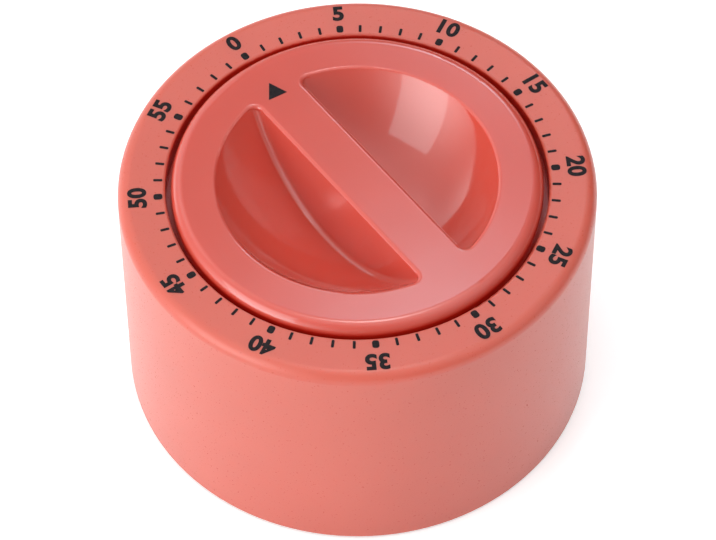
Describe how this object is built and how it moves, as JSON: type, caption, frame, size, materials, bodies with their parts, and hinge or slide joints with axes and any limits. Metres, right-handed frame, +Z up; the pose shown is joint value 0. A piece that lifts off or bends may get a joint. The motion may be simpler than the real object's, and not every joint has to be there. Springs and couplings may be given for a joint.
{
  "type": "mechanical countdown timer",
  "caption": "Round drum kitchen timer with a turning knob cap, two finger bowls beside a grip bar, a printed minute dial, and a spring-driven bell movement.",
  "frame": {"origin": "middle of the plane that the feet stand on, on the knob's axis", "axes": "+Z up along the knob's axis, +Y towards the zero mark of the dial"},
  "size_m": [0.072, 0.072, 0.0437],
  "materials": {
    "case_plastic": "coral ABS, satin gloss",
    "knob_plastic": "coral ABS, gloss",
    "foot_rubber": "black rubber",
    "plate_steel": "zinc-plated sheet",
    "staff_steel": "bright turned steel",
    "screw_steel": "zinc-plated",
    "spring_steel": "blued spring steel",
    "bell_steel": "nickel-plated",
    "wheel_brass": "stamped brass",
    "cam_nylon": "natural nylon"
  },
  "bodies": {
    "case": {"case_shell": "case_plastic", "base_cover": "case_plastic", "rubber_feet": "foot_rubber", "cover_screws": "screw_steel", "front_plate": "plate_steel", "back_plate": "plate_steel", "plate_pillars": "staff_steel", "movement_screws": "screw_steel", "mainspring": "spring_steel", "spring_post": "staff_steel", "bell": "bell_steel", "bell_post": "staff_steel", "bell_screw": "screw_steel", "trip_stud": "staff_steel"},
    "winding_knob": {"knob": "knob_plastic", "main_arbor": "staff_steel", "great_wheel": "wheel_brass", "ratchet_wheel": "plate_steel", "click_pawl": "plate_steel", "trip_cam": "cam_nylon"},
    "second": {"second_wheel": "wheel_brass", "second_pinion": "staff_steel"},
    "third": {"third_wheel": "wheel_brass", "third_pinion": "staff_steel"},
    "escape": {"escape_wheel": "wheel_brass", "escape_pinion": "staff_steel", "hammer_star": "staff_steel"},
    "balance": {"balance_ring": "plate_steel", "pallet_arm": "plate_steel", "balance_staff": "staff_steel"},
    "hammer": {"hammer_arm": "plate_steel", "hammer_staff": "staff_steel"},
    "trip": {"trip_lever": "plate_steel"}
  },
  "joints": [
    {"name": "knob_turn", "type": "hinge", "parent": "case", "child": "winding_knob", "pos_m": [0, 0, 0.03], "axis": [0, 0, 1], "range_deg": [-361.9, 0]},
    {"name": "second_spin", "type": "hinge", "parent": "case", "child": "second", "pos_m": [0.016, 0, 0.0173], "axis": [0, 0, 1], "range_deg": [0, 3257.1]},
    {"name": "third_spin", "type": "hinge", "parent": "case", "child": "third", "pos_m": [0.01434, 0.01178, 0.016], "axis": [0, 0, 1], "range_deg": [-24428.25, 0]},
    {"name": "escape_spin", "type": "hinge", "parent": "case", "child": "escape", "pos_m": [0.00648, 0.01729, 0.0148], "axis": [0, 0, 1], "range_deg": [0, 170997.75]},
    {"name": "balance_swing", "type": "hinge", "parent": "case", "child": "balance", "pos_m": [-0.00133, 0.01895, 0.0174], "axis": [0, 0, 1], "range_deg": [-10, 10]},
    {"name": "hammer_lift", "type": "hinge", "parent": "case", "child": "hammer", "pos_m": [0.00847, 0.02177, 0.0091], "axis": [0, 0, 1], "range_deg": [0, 12], "stiffness_Nm_per_rad": 0.002, "springref_deg": -5.73},
    {"name": "trip_drop", "type": "hinge", "parent": "case", "child": "trip", "pos_m": [-0.017, 0.009, 0.0146], "axis": [0, 0, 1], "range_deg": [0, 8]}
  ],
  "couplings": [
    {"joint": "second_spin", "follows": "knob_turn", "ratio": -9},
    {"joint": "third_spin", "follows": "knob_turn", "ratio": 67.5},
    {"joint": "escape_spin", "follows": "knob_turn", "ratio": -472.5}
  ]
}
